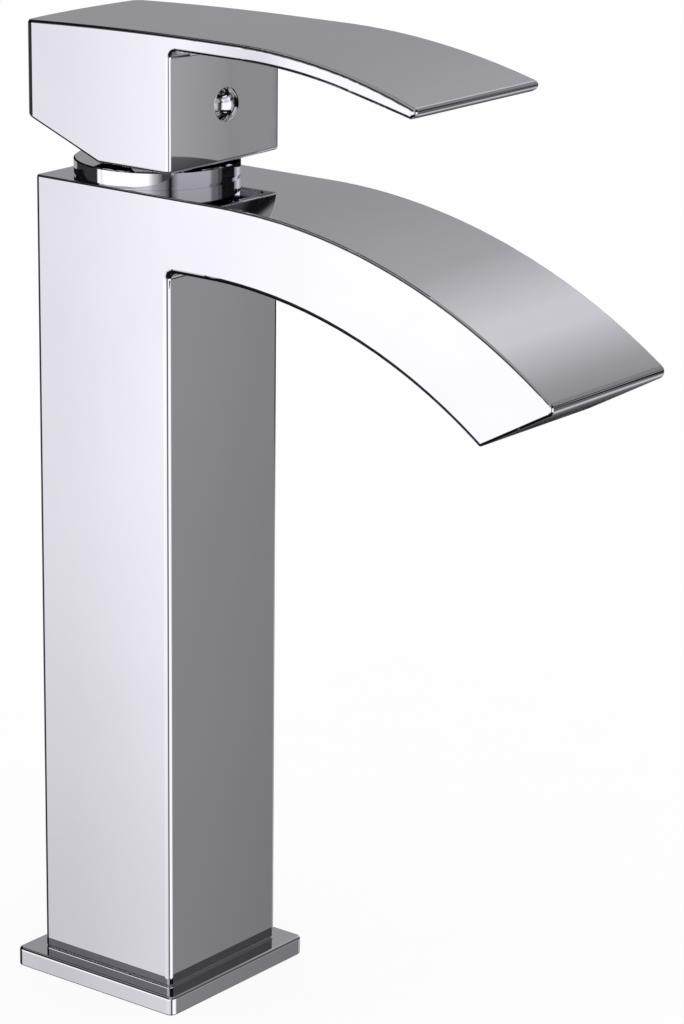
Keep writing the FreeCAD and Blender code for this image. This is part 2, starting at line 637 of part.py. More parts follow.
def make_base_plate():
    body = doc.addObject("PartDesign::Body", "base_plate")
    plate = new_sketch(body, "XY_Plane")
    half = f"({HALF} + base_step)"
    add_box(plate, f"-{half}", f"-{half}", half, half)
    extrude(body, "Pad", plate, "base_height")
    round_edges(body, "base_corner", lambda edge: edge.BoundBox.ZLength > 0.01)
    round_edges(body, "base_round", lambda edge: edge.BoundBox.ZMin > 0.01)
    round_edges(body, "base_under_round", lambda edge: edge.BoundBox.ZMax < 0.01)
    bore(body, "0", "0", f"{SPIGOT} + press_gap", "0", "base_height")
    groove = new_sketch(body, "XY_Plane")
    add_circle(groove, "0", "0", SEAL_INNER)
    add_circle(groove, "0", "0", SEAL_OUTER)
    extrude(body, "Pocket", groove, "seal_height")
    for x in (SCREW_XY, f"-{SCREW_XY}"):
        for y in (SCREW_XY, f"-{SCREW_XY}"):
            bore(body, x, y, "screw_radius + slide_gap", "0", "base_height")
            bore(body, x, y, "screw_head_radius + slide_gap", "0", "screw_head_height")
    return keep(body, "base_plate")


def make_deck_seal():
    inner, outer = f"({SEAL_INNER} + press_gap)", f"({SEAL_OUTER} - press_gap)"
    height = "seal_height"
    turned_body("deck_seal", [(inner, "0"), (outer, "0"), (outer, height), (inner, height)])


def make_base_screws():
    screws = []
    head_height = "screw_head_height - press_gap"
    shank_length = "base_height - screw_head_height + screw_length - slide_gap"
    for number, (side_x, side_y) in enumerate([("", ""), ("", "-"), ("-", ""), ("-", "-")], start=1):
        name = f"base_screw_{number}"
        x, y = side_x + SCREW_XY, side_y + SCREW_XY
        head = cylinder(name + "_head", "screw_head_radius", head_height, x, y, "press_gap")
        shank = cylinder(name + "_shank", "screw_radius", shank_length, x, y, "screw_head_height")
        joined = fuse(name + "_blank", [head, shank])
        socket = hexagon(name + "_socket", "screw_socket", "screw_head_height * 0.6", x, y, "0")
        screws.append(cut(name, joined, socket))
    group("base_screws", screws)


def make_inlet_block():
    body = doc.addObject("PartDesign::Body", "inlet_block")
    block = new_sketch(body, "XY_Plane", "base_height")
    half = f"({HOLLOW_HALF} - slide_gap)"
    add_rounded_box(block, f"-{half}", f"-{half}", half, half, "hollow_corner")
    extrude(body, "Pad", block, "block_height")
    spigot = new_sketch(body, "XY_Plane")
    add_circle(spigot, "0", "0", SPIGOT)
    extrude(body, "Pad", spigot, "base_height")
    socket_low = f"({BLOCK_TOP} - riser_socket)"
    for sign in ("", "-"):
        y = f"{sign}port_y"
        bore(body, "port_x", y, "inlet_radius", "0", "inlet_depth")
        bore(body, "port_x", y, "port_radius", "0", "block_height")
        bore(body, "port_x", y, "riser_radius + press_gap", socket_low, "riser_socket")
        gland_low = f"{BLOCK_TOP} - gland_inset - gland_height"
        bore(body, "port_x", y, "riser_radius + gland_width", gland_low, "gland_height")
    bore(body, f"-{STUD_X}", "0", "stud_radius", "0", "base_height + block_height")
    return keep(body, "inlet_block")


def make_risers():
    low = f"({BLOCK_TOP} - riser_socket + press_gap)"
    length = f"({HOLLOW_TOP} + riser_socket - press_gap - {low})"
    for side, y in SUPPLIES.items():
        label = side + "_riser"
        outside = cylinder(label + "_outside", "riser_radius", length, "port_x", y, low)
        inside = cylinder(label + "_inside", "riser_radius - riser_wall", length, "port_x", y, low)
        keep(cut(label, outside, inside), label)
    middle, section = "riser_radius + gland_width / 2", "((gland_width - press_gap) / 2)"
    lower = f"({BLOCK_TOP} - gland_inset - gland_height / 2)"
    upper = f"({HOLLOW_TOP} + gland_inset + gland_height / 2)"
    seals = []
    for end, z in (("lower", lower), ("upper", upper)):
        for side, y in SUPPLIES.items():
            seals.append(ring(f"{side}_{end}_seal", middle, section, "port_x", y, z))
    group("riser_seals", seals)


# The cartridge: housing, foot, discs, rotor


def make_cartridge_housing():
    foot_bore = "(foot_radius + press_gap)"
    body = turned_body("cartridge_housing", [
        (foot_bore, SEAT), ("housing_radius", SEAT), ("housing_radius", SHOULDER), ("neck_radius", SHOULDER),
        ("neck_radius", NECK_TOP), (NECK_BORE, NECK_TOP), (NECK_BORE, LEDGE), ("disc_bore_radius", LEDGE),
        ("disc_bore_radius", FOOT_TOP), (foot_bore, FOOT_TOP),
    ])
    window = new_sketch(body, "XY_Plane", f"{FOOT_TOP} - outlet_channel_depth")
    half = "(outlet_channel / 2)"
    add_box(window, f"-housing_radius - {MARGIN}", f"-{half}", "-outlet_port_x", half)
    extrude(body, "Pocket", window, "outlet_channel_depth")


def make_cartridge_foot():
    body = turned_body("cartridge_foot", [
        ("0", SEAT), ("foot_radius", SEAT), ("foot_radius", f"{FOOT_TOP}"), ("0", f"{FOOT_TOP}"),
    ])
    channel = new_sketch(body, "XY_Plane", f"{FOOT_TOP} - outlet_channel_depth")
    half = "(outlet_channel / 2)"
    front = "(outlet_port_radius - outlet_port_x)"
    add_box(channel, f"-foot_radius - {MARGIN}", f"-{half}", front, half)
    extrude(body, "Pocket", channel, "outlet_channel_depth")
    groove = "(2 * port_seal_section + press_gap)"
    for sign in ("", "-"):
        y = f"{sign}port_y"
        bore(body, "port_x", y, "port_radius", SEAT, "foot_thickness")
        for low in (SEAT, f"({FOOT_TOP} - {groove})"):
            sketch = new_sketch(body, "XY_Plane", low)
            add_circle(sketch, "port_x", y, f"{PORT_SEAL_RING} - port_seal_section - press_gap")
            add_circle(sketch, "port_x", y, f"{PORT_SEAL_RING} + port_seal_section + press_gap")
            extrude(body, "Pocket", sketch, groove)
    for label, z in (("seat_seals", f"{SEAT} + port_seal_section + press_gap / 2"),
                     ("disc_seals", f"{FOOT_TOP} - port_seal_section - press_gap / 2")):
        group(label, [
            ring(f"{label}_{side}", PORT_SEAL_RING, "port_seal_section", "port_x", y, z)
            for side, y in SUPPLIES.items()
        ])


def make_fixed_disc():
    radius = "(disc_bore_radius - part_gap)"
    body = turned_body("fixed_disc", [
        ("0", FOOT_TOP), (radius, FOOT_TOP), (radius, FIXED_TOP), ("0", FIXED_TOP),
    ])
    for sign in ("", "-"):
        bore(body, "port_x", f"{sign}port_y", "port_radius", FOOT_TOP, "fixed_disc_height")
    bore(body, "-outlet_port_x", "0", "outlet_port_radius", FOOT_TOP, "fixed_disc_height")


def make_moving_disc():
    """The upper ceramic disc, with the pocket that joins the ports when the lever is lifted."""
    body = doc.addObject("PartDesign::Body", "moving_disc")
    disc = new_sketch(body, "XY_Plane", MOVING_LOW)
    add_circle(disc, f"-{TRAVEL} / 2", "0", "moving_disc_radius")
    extrude(body, "Pad", disc, "moving_disc_height")
    pocket = new_sketch(body, "XY_Plane", MOVING_LOW)
    add_box(pocket, "-pocket_back", "-pocket_width / 2", "-pocket_back + pocket_length", "pocket_width / 2")
    extrude(body, "Pocket", pocket, "pocket_depth")
    keep(body, "moving_disc")


def make_disc_carrier():
    """The plate on the moving disc, with a boss that the stem's ball pushes."""
    body = doc.addObject("PartDesign::Body", "disc_carrier")
    plate = new_sketch(body, "XY_Plane", MOVING_TOP)
    add_circle(plate, f"-{TRAVEL} / 2", "0", "moving_disc_radius")
    extrude(body, "Pad", plate, "carrier_height")
    boss = new_sketch(body, "XY_Plane", CARRIER_TOP)
    add_box(boss, f"-{BOSS_HALF}", f"-{BOSS_HALF}", BOSS_HALF, BOSS_HALF)
    extrude(body, "Pad", boss, f"{BOSS_TOP} - {CARRIER_TOP}")
    socket_low = f"({BALL} - ball_radius - part_gap)"
    bore(body, "0", "0", SOCKET_RADIUS, socket_low, f"{BOSS_TOP} - {socket_low}")
    keep(body, "disc_carrier")


def make_stem_rotor():
    """The turning holder of the lever's pivot, with guides for the carrier's boss."""
    seal_z = f"({ROTOR_TOP} - rotor_seal_drop)"
    groove_low = f"({seal_z} - rotor_seal_section - press_gap)"
    groove_high = f"({seal_z} + rotor_seal_section + press_gap)"
    groove_radius = f"({NECK_BORE} - 2 * rotor_seal_section - 2 * press_gap)"
    body = turned_body("stem_rotor", [
        ("0", ROTOR_LOW), ("rotor_flange_radius", ROTOR_LOW), ("rotor_flange_radius", ROTOR_LEDGE),
        ("rotor_radius", ROTOR_LEDGE), ("rotor_radius", groove_low), (groove_radius, groove_low),
        (groove_radius, groove_high), ("rotor_radius", groove_high), ("rotor_radius", ROTOR_TOP),
        ("0", ROTOR_TOP),
    ])
    cavity = new_sketch(body, "XY_Plane", ROTOR_LOW)
    length, guide = f"({BOSS_HALF} + {TRAVEL} + part_gap)", f"({BOSS_HALF} + slide_gap)"
    add_box(cavity, f"-{BOSS_HALF} - part_gap", f"-{guide}", length, guide)
    extrude(body, "Pocket", cavity, f"{CAVITY_TOP} - {ROTOR_LOW}")
    slot = new_sketch(body, "XY_Plane", CAVITY_TOP)
    across = "(stem_side / 2 + slide_gap)"
    stem_half = "(stem_side / 2 / cos(lift_angle))"
    rear = f"(({ROTOR_TOP} - {PIVOT}) * tan(lift_angle) + {stem_half} + part_gap)"
    front = f"(stem_square_drop * tan(lift_angle) + {stem_half} + part_gap)"
    add_box(slot, f"-{rear}", f"-{across}", front, across)
    extrude(body, "Pocket", slot, f"{ROTOR_TOP} - {CAVITY_TOP}")
    pin = new_sketch(body, "XZ_Plane")
    add_circle(pin, "0", PIVOT, "pin_radius")
    extrude(body, "Pocket", pin, "through", "both")
    seal_ring = f"({NECK_BORE} - press_gap - rotor_seal_section)"
    keep(ring("rotor_seal", seal_ring, "rotor_seal_section", z=seal_z), "rotor_seal")


def make_pivot_pin():
    half = "(rotor_radius - 2 * part_gap)"
    pin = cylinder("pivot_pin", "pin_radius", f"2 * {half}", y=half, z=PIVOT)
    pin.Placement.Rotation = FreeCAD.Rotation(Vector(1, 0, 0), 90)
    keep(pin, "pivot_pin")


def make_limit_ring():
    inner = f"({NECK_BORE} + part_gap)"
    high = f"({NECK_TOP} + limit_ring_height)"
    body = turned_body("limit_ring", [
        (inner, NECK_TOP), ("neck_radius", NECK_TOP), ("neck_radius", high), (inner, high),
    ])
    gap = new_sketch(body, "XY_Plane", NECK_TOP)
    add_box(gap, "0", "-limit_stop_width / 2", "neck_radius * 2", "limit_stop_width / 2")
    extrude(body, "Pocket", gap, "limit_ring_height")


# Lock nut and bonnet


def make_lock_nut():
    """The ring nut that holds the cartridge down, with two grooves for seals and four spanner slots."""
    bore_radius = "(neck_radius + slide_gap)"
    groove = "(2 * nut_seal_section)"
    nose_seal = f"({SHOULDER} + nut_seal_section + part_gap)"
    collar_seal = f"({TOP} + nut_collar_height / 2)"
    body = turned_body("lock_nut", [
        (bore_radius, SHOULDER), ("nut_nose_radius", SHOULDER), ("nut_nose_radius", THREAD_LOW),
        ("thread_radius", THREAD_LOW), ("thread_radius", TOP), ("nut_collar_radius", TOP),
        ("nut_collar_radius", COLLAR_TOP), (bore_radius, COLLAR_TOP),
    ])
    for label, z, outside, wall in (
        ("chamber_seal", nose_seal, "nut_nose_radius", "chamber_radius"),
        ("bonnet_seal", collar_seal, "nut_collar_radius", "bonnet_bore"),
    ):
        inner = f"({wall} - {groove} - press_gap)"
        low, high = f"({z} - nut_seal_section - press_gap)", f"({z} + nut_seal_section + press_gap)"
        outer = f"({outside} + part_gap)"
        sketch = new_sketch(body, "XZ_Plane")
        add_box(sketch, inner, low, outer, high)
        turn(body, "Groove", sketch)
        keep(ring(label, f"{wall} - press_gap / 2 - nut_seal_section", "nut_seal_section", z=z), label)
    slots = new_sketch(body, "XY_Plane", f"{COLLAR_TOP} - nut_collar_height / 4")
    reach = f"(nut_collar_radius + {MARGIN})"
    half = "(nut_slot / 2)"
    for sign, near, far in (("", bore_radius, reach), ("-", reach, bore_radius)):
        deep_near, deep_far = f"{sign}({near} - part_gap)", f"{sign}({far} - part_gap)"
        add_box(slots, deep_near, f"-{half}", deep_far, half)
        add_box(slots, f"-{half}", deep_near, half, deep_far)
    extrude(body, "Pocket", slots, "nut_collar_height")


def make_bonnet():
    bevel_radius = "(bonnet_radius - bonnet_bevel_width)"
    foot_radius = "(bonnet_radius - bonnet_foot_step)"
    foot_top = f"({TOP} + bonnet_foot_height)"
    turned_body("bonnet", [
        ("bonnet_bore", TOP), (foot_radius, TOP), (foot_radius, foot_top), ("bonnet_radius", foot_top),
        ("bonnet_radius", BEVEL_LOW), (bevel_radius, BEVEL_TOP), ("bonnet_opening", DOME_TOP),
        ("bonnet_opening", f"{DOME_TOP} - bonnet_shell"), ("bonnet_bore", f"{BEVEL_TOP} - bonnet_shell"),
    ])


# The lever: stem, handle, screw and cap


def make_stem():
    """The square stem that tilts on the pivot pin, with a ball below that slides the disc carrier."""
    half = "(stem_side / 2)"
    square_low = f"({PIVOT} - stem_square_drop)"
    square = doc.addObject("Part::Box", "stem_square")
    bind(square, "Length", "stem_side")
    bind(square, "Width", "stem_side")
    bind(square, "Height", f"{STEM_TOP} - {square_low}")
    place(square, f"-{half}", f"-{half}", square_low)
    neck = cylinder("stem_neck", "stem_neck_radius", f"{square_low} - {BALL}", z=BALL)
    ball = doc.addObject("Part::Sphere", "stem_ball")
    bind(ball, "Radius", "ball_radius")
    place(ball, z=BALL)
    blank = fuse("stem_blank", [square, neck, ball])
    eye_radius = "(pin_radius + running_fit + bush_wall)"
    eye = cylinder("stem_eye", eye_radius, "stem_side * 2", y="stem_side", z=PIVOT)
    outside = cylinder("bush_outside", f"{eye_radius}", "stem_side", y=half, z=PIVOT)
    inside = cylinder("bush_inside", "pin_radius + running_fit", "stem_side * 2", y="stem_side", z=PIVOT)
    for item in (eye, outside, inside):
        item.Placement.Rotation = FreeCAD.Rotation(Vector(1, 0, 0), 90)
    keep(cut("stem", blank, eye), "stem")
    keep(cut("stem_bush", outside, inside), "stem_bush")


def bow_face(body, half, face, bulge, way, top):
    """Trims the handle's front or rear face to a slight bulge, up to a height. way is 1 in front and -1 behind."""
    sign = "" if way > 0 else "-"
    radius = f"(({half} ^ 2 + {bulge} ^ 2) / (2 * {bulge}))"
    wide = f"({half} + {MARGIN})"
    edge_x = f"{sign}({face} - {radius} + sqrt({radius} ^ 2 - {wide} ^ 2))"
    beyond = f"{sign}({face} + {bulge} + {MARGIN})"
    sketch = new_sketch(body, "XY_Plane", f"{HANDLE_UNDER} - {MARGIN}")
    corners = [(edge_x, f"-{wide}"), (beyond, f"-{wide}"), (beyond, wide), (edge_x, wide)]
    add_outline(sketch, corners, {3: (f"{sign}({face} - {radius})", "0", radius, -way)})
    extrude(body, "Pocket", sketch, f"{top} - {HANDLE_UNDER} + {MARGIN}")


def make_lever_handle():
    body = doc.addObject("PartDesign::Body", "lever_handle")
    end_z = f"({LEVER_ARC_Z} + {LEVER_END_ARM})"
    lever_low = f"({end_z} - lever_end * ({LEVER_END_X} - {LEVER_ARC_X}) / {LEVER_END_ARM})"
    lever_high = f"({LEVER_ARC_Z} + sqrt(lever_radius ^ 2 - (lever_reach - {LEVER_ARC_X}) ^ 2))"
    uncrowned = "(handle_front + handle_crown)"
    side = new_sketch(body, "XZ_Plane")
    corners = [
        (f"-{REAR}", CHAMFER_TOP), ("-chamfer_start", HANDLE_UNDER), (uncrowned, HANDLE_UNDER),
        (uncrowned, LEVER_UNDER), (LEVER_ARC_X, LEVER_UNDER), (LEVER_END_X, end_z), (LEVER_LOW_X, lever_low),
        ("lever_reach", lever_high), (LEVER_ARC_X, HANDLE_TOP), (CREST_X, HANDLE_TOP), (f"-{REAR}", REAR_TOP),
    ]
    arcs = {
        4: (LEVER_ARC_X, LEVER_ARC_Z, LEVER_LOW_RADIUS, -1),
        7: (LEVER_ARC_X, LEVER_ARC_Z, "lever_radius", 1),
        9: (CREST_X, CREST_Z, "handle_top_radius", 1),
    }
    add_outline(side, corners, arcs)
    half = "(handle_width / 2)"
    extrude(body, "Pad", side, f"handle_width + 2 * lever_flare + 2 * {MARGIN}", "both")
    flare_sides(body, half, REAR, "(handle_front + 2 * lever_round)", "lever_reach", "lever_flare")
    bow_face(body, half, "handle_front", "handle_crown", 1, LEVER_UNDER)
    bow_face(body, half, "handle_back", "handle_bow", -1, f"{HANDLE_TOP} + {MARGIN}")
    root = Vector(size("handle_front"), 0, size(LEVER_UNDER))
    reach = size("handle_crown")
    tip = size(LEVER_LOW_X)
    round_edges(body, "lever_round", lambda edge: edge.CenterOfMass.distanceToPoint(root) < reach)
    round_edges(body, "tip_round", lambda edge: edge.BoundBox.XMin > tip - 0.1 and edge.BoundBox.ZLength < 0.1)
    round_edges(body, "handle_rear_round", lambda edge: is_upright(edge) and edge.BoundBox.XMax < 0)
    round_edges(body, "handle_round", lambda edge: True)
    hollow = new_sketch(body, "XY_Plane", f"{HANDLE_UNDER} - {MARGIN}")
    rear = "(-handle_back + handle_bow + handle_wall)"
    front = "(handle_front - handle_front_wall)"
    inner = f"({half} - handle_wall)"
    add_rounded_box(hollow, rear, f"-{inner}", front, inner, "handle_corner")
    extrude(body, "Pocket", hollow, f"{ROOF} - {HANDLE_UNDER} + {MARGIN}")
    boss = new_sketch(body, "XY_Plane", BOSS_LOW)
    add_circle(boss, "0", "0", "boss_radius")
    extrude(body, "Pad", boss, f"{ROOF} - {BOSS_LOW}")
    rib = new_sketch(body, "XY_Plane", f"{SCREW_Z} - rib_drop")
    add_box(rib, "0", "-rib_width / 2", front, "rib_width / 2")
    extrude(body, "Pad", rib, f"{ROOF} - {SCREW_Z} + rib_drop")
    socket = new_sketch(body, "XY_Plane", BOSS_LOW)
    wide = "(stem_side / 2 + press_gap)"
    add_box(socket, f"-{wide}", f"-{wide}", wide, wide)
    extrude(body, "Pocket", socket, f"{STEM_TOP} + press_gap - {BOSS_LOW}")
    thread = new_sketch(body, "YZ_Plane")
    add_circle(thread, "0", SCREW_Z, "grub_radius + press_gap")
    extrude(body, "Pocket", thread, "handle_front + grub_radius")
    cap_seat = new_sketch(body, "YZ_Plane", "handle_front - cap_spigot_length - press_gap")
    add_circle(cap_seat, "0", SCREW_Z, "cap_spigot_radius + press_gap")
    extrude(body, "Pocket", cap_seat, "cap_spigot_length + cap_height")
    keep(body, "lever_handle")


def lay_along_x(item):
    item.Placement.Rotation = FreeCAD.Rotation(Vector(0, 1, 0), 90)


def make_grub_screw():
    start = "(stem_side / 2 + press_gap)"
    blank = cylinder("grub_blank", "grub_radius", "grub_length", start, "0", SCREW_Z)
    socket_x = f"({start} + grub_length - grub_socket_depth)"
    socket = hexagon("grub_hexagon", "grub_socket", "grub_socket_depth * 2", socket_x, "0", SCREW_Z)
    lay_along_x(blank)
    lay_along_x(socket)
    keep(cut("grub_screw", blank, socket), "grub_screw")


def make_screw_cap():
    """The domed plug over the grub screw."""
    body = doc.addObject("PartDesign::Body", "screw_cap")
    sketch = new_sketch(body, "XZ_Plane")
    bind(sketch, "AttachmentOffset.Base.y", SCREW_Z)
    dome = "((cap_radius ^ 2 + cap_height ^ 2) / (2 * cap_height))"
    face, nose = "(handle_front + press_gap)", "(handle_front + press_gap + cap_height)"
    corners = [
        ("handle_front - cap_spigot_length", "0"), (nose, "0"), (face, "cap_radius"),
        (face, "cap_spigot_radius"), ("handle_front - cap_spigot_length", "cap_spigot_radius"),
    ]
    add_outline(sketch, corners, {1: (f"{nose} - {dome}", "0", dome, 1)})
    turn(body, "Revolution", sketch, "H_Axis")
    keep(body, "screw_cap")


make_tap_body()
make_flow_straightener()
make_base_plate()
make_deck_seal()
make_base_screws()
make_inlet_block()
make_risers()
make_cartridge_housing()
make_cartridge_foot()
make_fixed_disc()
make_moving_disc()
make_disc_carrier()
make_stem_rotor()
make_pivot_pin()
make_limit_ring()
make_lock_nut()
make_bonnet()
make_stem()
make_lever_handle()
make_grub_screw()
make_screw_cap()
doc.recompute()

for item in doc.Objects:
    if {"Invalid", "Error"} & set(item.State):
        raise RuntimeError(f"{item.Label} failed: {item.State}")
for item in subparts:
    if item.Shape.isNull() or not item.Shape.isValid():
        raise RuntimeError(f"{item.Label} has no valid shape")

os.makedirs("parts", exist_ok=True)
for item in subparts:
    item.Shape.exportStep(f"parts/{item.Label}.step")
    print(f"{item.Label}: {len(item.Shape.Solids)} solid, {item.Shape.Volume:.1f} mm3")
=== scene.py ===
# %% [markdown]
# # A chrome basin mixer in a small photo studio
# The real mixer is a brass casting with a square column and a flat curved spout. A block handle with a
# long thin lever sits on a round bonnet ring. Everything outside is polished and chrome plated, so it
# works as a mirror. What makes such an object look right is less its own colour than what stands around
# it, so this lesson spends most of its steps on the finish and on the studio.

import json
import math

import bpy
from mathutils import Matrix, Vector

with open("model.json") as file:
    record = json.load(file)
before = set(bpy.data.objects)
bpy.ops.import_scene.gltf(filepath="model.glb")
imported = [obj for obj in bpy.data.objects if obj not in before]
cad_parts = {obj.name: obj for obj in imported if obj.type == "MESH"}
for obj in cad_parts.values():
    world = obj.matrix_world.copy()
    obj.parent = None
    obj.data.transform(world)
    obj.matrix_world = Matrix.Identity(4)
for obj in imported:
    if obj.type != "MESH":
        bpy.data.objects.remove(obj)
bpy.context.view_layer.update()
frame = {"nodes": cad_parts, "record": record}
print("pieces:", len(frame["nodes"]))

# %% [markdown]
# ## A small kit for shader nodes
# Each finish below is a little tree of nodes. Three helpers keep the trees short to write: one adds a
# node and fills its sockets, one makes a noise, and one maps a value from one range to another. The
# noises run in the object's own coordinates, in metres, so a scale of 1000 means grains of about a
# millimetre.


# %% Node helpers
def add_node(tree, kind, sockets=None, **settings):
    """A new node with its settings, and its sockets filled with values or joined to other sockets."""
    node = tree.nodes.new(kind)
    for name, value in settings.items():
        setattr(node, name, value)
    for name, value in (sockets or {}).items():
        if isinstance(value, bpy.types.NodeSocket):
            tree.links.new(value, node.inputs[name])
        else:
            node.inputs[name].default_value = value
    return node


def add_noise(tree, place, scale, detail):
    noise = add_node(tree, "ShaderNodeTexNoise", {"Vector": place, "Scale": scale, "Detail": detail})
    return noise.outputs["Fac"]


def add_range(tree, value, from_low, from_high, to_low, to_high):
    sockets = {"Value": value, "From Min": from_low, "From Max": from_high}
    sockets.update({"To Min": to_low, "To Max": to_high})
    return add_node(tree, "ShaderNodeMapRange", sockets, clamp=True).outputs["Result"]


print("helpers ready")

# %% [markdown]
# ## The finishes
# Chrome plate is a thin blue-white metal over polished brass. Its gloss changes a little from place to
# place where the buffing wheel ran, and it has a very slight waviness. The inner pieces are machined
# brass and steel, moulded plastic, lapped ceramic and rubber, with coarser grain. All of them share one
# recipe: the colour wanders between two values with a broad noise, and a fine noise changes the roughness
# and gives a shallow bump. Only the numbers differ, so they stand in one table.

# %% One recipe for all finishes
FINISHES = {
    # name: darker colour, lighter colour, metallic, smoothest, roughest, broad scale, fine scale,
    # bump depth in metres
    "chrome": ((0.875, 0.87, 0.925), (0.895, 0.89, 0.945), 1.0, 0.025, 0.045, 30, 220, 1e-7),
    "brass": ((0.62, 0.46, 0.2), (0.78, 0.61, 0.33), 1.0, 0.2, 0.38, 90, 1500, 4e-6),
    "steel": ((0.5, 0.5, 0.51), (0.62, 0.62, 0.62), 1.0, 0.22, 0.36, 120, 1800, 4e-6),
    "grey_plastic": ((0.27, 0.28, 0.29), (0.36, 0.37, 0.38), 0.0, 0.38, 0.55, 150, 2500, 8e-6),
    # black_plastic is the flow straightener's plastic, made near black so that its colour also carries
    # painted shade of the recessed outlet under the spout.
    "black_plastic": ((0.02, 0.02, 0.022), (0.04, 0.04, 0.042), 0.0, 0.4, 0.55, 150, 2500, 8e-6),
    "white_plastic": ((0.8, 0.8, 0.77), (0.88, 0.88, 0.86), 0.0, 0.35, 0.5, 150, 2500, 8e-6),
    "red_plastic": ((0.5, 0.04, 0.035), (0.66, 0.07, 0.06), 0.0, 0.2, 0.35, 150, 2000, 6e-6),
    "ceramic": ((0.88, 0.87, 0.83), (0.94, 0.93, 0.9), 0.0, 0.12, 0.25, 200, 3000, 3e-6),
    "rubber": ((0.018, 0.018, 0.018), (0.04, 0.04, 0.042), 0.0, 0.55, 0.75, 200, 2200, 1e-5),
}
BROAD_DETAIL, FINE_DETAIL = 3, 2
TINT_SPAN = (0.35, 0.65)
GLOSS_SPAN = (0.3, 0.7)


def make_finish(name, dark, light, metallic, smooth, rough, broad_scale, fine_scale, depth):
    finish = bpy.data.materials.new("finish_" + name)
    finish.use_nodes = True
    tree = finish.node_tree
    shader = tree.nodes["Principled BSDF"]
    place = add_node(tree, "ShaderNodeTexCoord").outputs["Object"]
    broad = add_noise(tree, place, broad_scale, BROAD_DETAIL)
    fine = add_noise(tree, place, fine_scale, FINE_DETAIL)
    tint = add_node(tree, "ShaderNodeValToRGB", {"Fac": broad})
    for element, position, colour in zip(tint.color_ramp.elements, TINT_SPAN, (dark, light)):
        element.position = position
        element.color = (*colour, 1)
    bump = add_node(tree, "ShaderNodeBump", {"Height": fine, "Strength": 1.0, "Distance": depth})
    shader.inputs["Metallic"].default_value = metallic
    tree.links.new(tint.outputs["Color"], shader.inputs["Base Color"])
    gloss = add_range(tree, fine, *GLOSS_SPAN, smooth, rough)
    tree.links.new(gloss, shader.inputs["Roughness"])
    tree.links.new(bump.outputs["Normal"], shader.inputs["Normal"])
    return finish


finishes = {name: make_finish(name, *numbers) for name, numbers in FINISHES.items()}
print("finishes:", ", ".join(finishes))

# %% [markdown]
# ## Finish on every piece
# The record of the measured model says which finish each piece has. The pieces keep their exact shape,
# with the roundings of the castings already in it, and only take on the new material.

# %% Give each piece its finish
for piece in frame["record"]["subparts"]:
    mesh = frame["nodes"][piece["node"]].data
    mesh.materials.clear()
    mesh.materials.append(finishes[piece["material_slot"]])

# %% [markdown]
# ## The studio
# A chrome product is photographed between large soft boxes and black cards. The soft boxes become the
# white faces, a grey card becomes the grey ones, and the black gaps draw the thin dark lines along each
# rounded edge. Here the studio is a sky that only mirrors see. This is simpler than real panels, because
# a far panel and a patch of sky look the same in a mirror. The sky is painted by two angles in degrees:
# azimuth 0 is +X and 90 is +Y, and elevation 90 is up.

# %% Angles of the sky
world = bpy.data.worlds.new("studio")
bpy.context.scene.world = world
world.use_nodes = True
sky = world.node_tree
sky.nodes.clear()
direction = add_node(sky, "ShaderNodeTexCoord").outputs["Generated"]
parts = add_node(sky, "ShaderNodeSeparateXYZ", {"Vector": direction}).outputs


def math_node(operation, first, second=0.0, third=0.0):
    node = add_node(sky, "ShaderNodeMath", operation=operation)
    for socket, value in zip(node.inputs, (first, second, third)):
        if isinstance(value, bpy.types.NodeSocket):
            sky.links.new(value, socket)
        else:
            socket.default_value = value
    return node.outputs["Value"]


azimuth = math_node("DEGREES", math_node("ARCTAN2", parts["Y"], parts["X"]))
elevation = math_node("DEGREES", math_node("ARCSINE", parts["Z"]))
print("sky measured by azimuth and elevation")

# %% [markdown]
# ## Cards with soft borders
# One card is a patch of the sky. Its brightness is given along each of its angles by a few stops, with
# straight slopes between them, and the card is the product of the two. A float curve node holds such a
# line of stops.


# %% Helpers for cards
def profile(value, stops):
    """Brightness along one angle, in straight pieces between stops of (degrees, brightness)."""
    low, high = stops[0][0], stops[-1][0]
    position = add_range(sky, value, low, high, 0.0, 1.0)
    curve = add_node(sky, "ShaderNodeFloatCurve", {"Value": position})
    line = curve.mapping.curves[0]
    while len(line.points) < len(stops):
        line.points.new(0.5, 0.5)
    for point, (degrees, level) in zip(line.points, stops):
        point.location = ((degrees - low) / (high - low), level)
        point.handle_type = "VECTOR"
    curve.mapping.use_clip = False
    curve.mapping.update()
    return curve.outputs["Value"]


def around(centre):
    """Azimuth counted from a direction, from -180 to 180."""
    return math_node("WRAP", math_node("SUBTRACT", azimuth, centre), 180.0, -180.0)


def card(across, upright):
    """One card: the product of its brightness along an azimuth and along the elevation."""
    return math_node("MULTIPLY", profile(*across), profile(elevation, upright))


print("card helpers ready")

# %% [markdown]
# ## The cards
# The left soft box makes the left faces white, and the right one lights the column's near edge. The grey
# card shows in the front faces and the backdrop in the top faces, where its lighter stripe becomes the
# shine on the spout. Small cards on the right colour the lip. The camera stands in the gap near azimuth
# -50. The last three cards hardly show from the camera, but keep faces from going black when the handle
# moves or when the mixer is seen from behind.

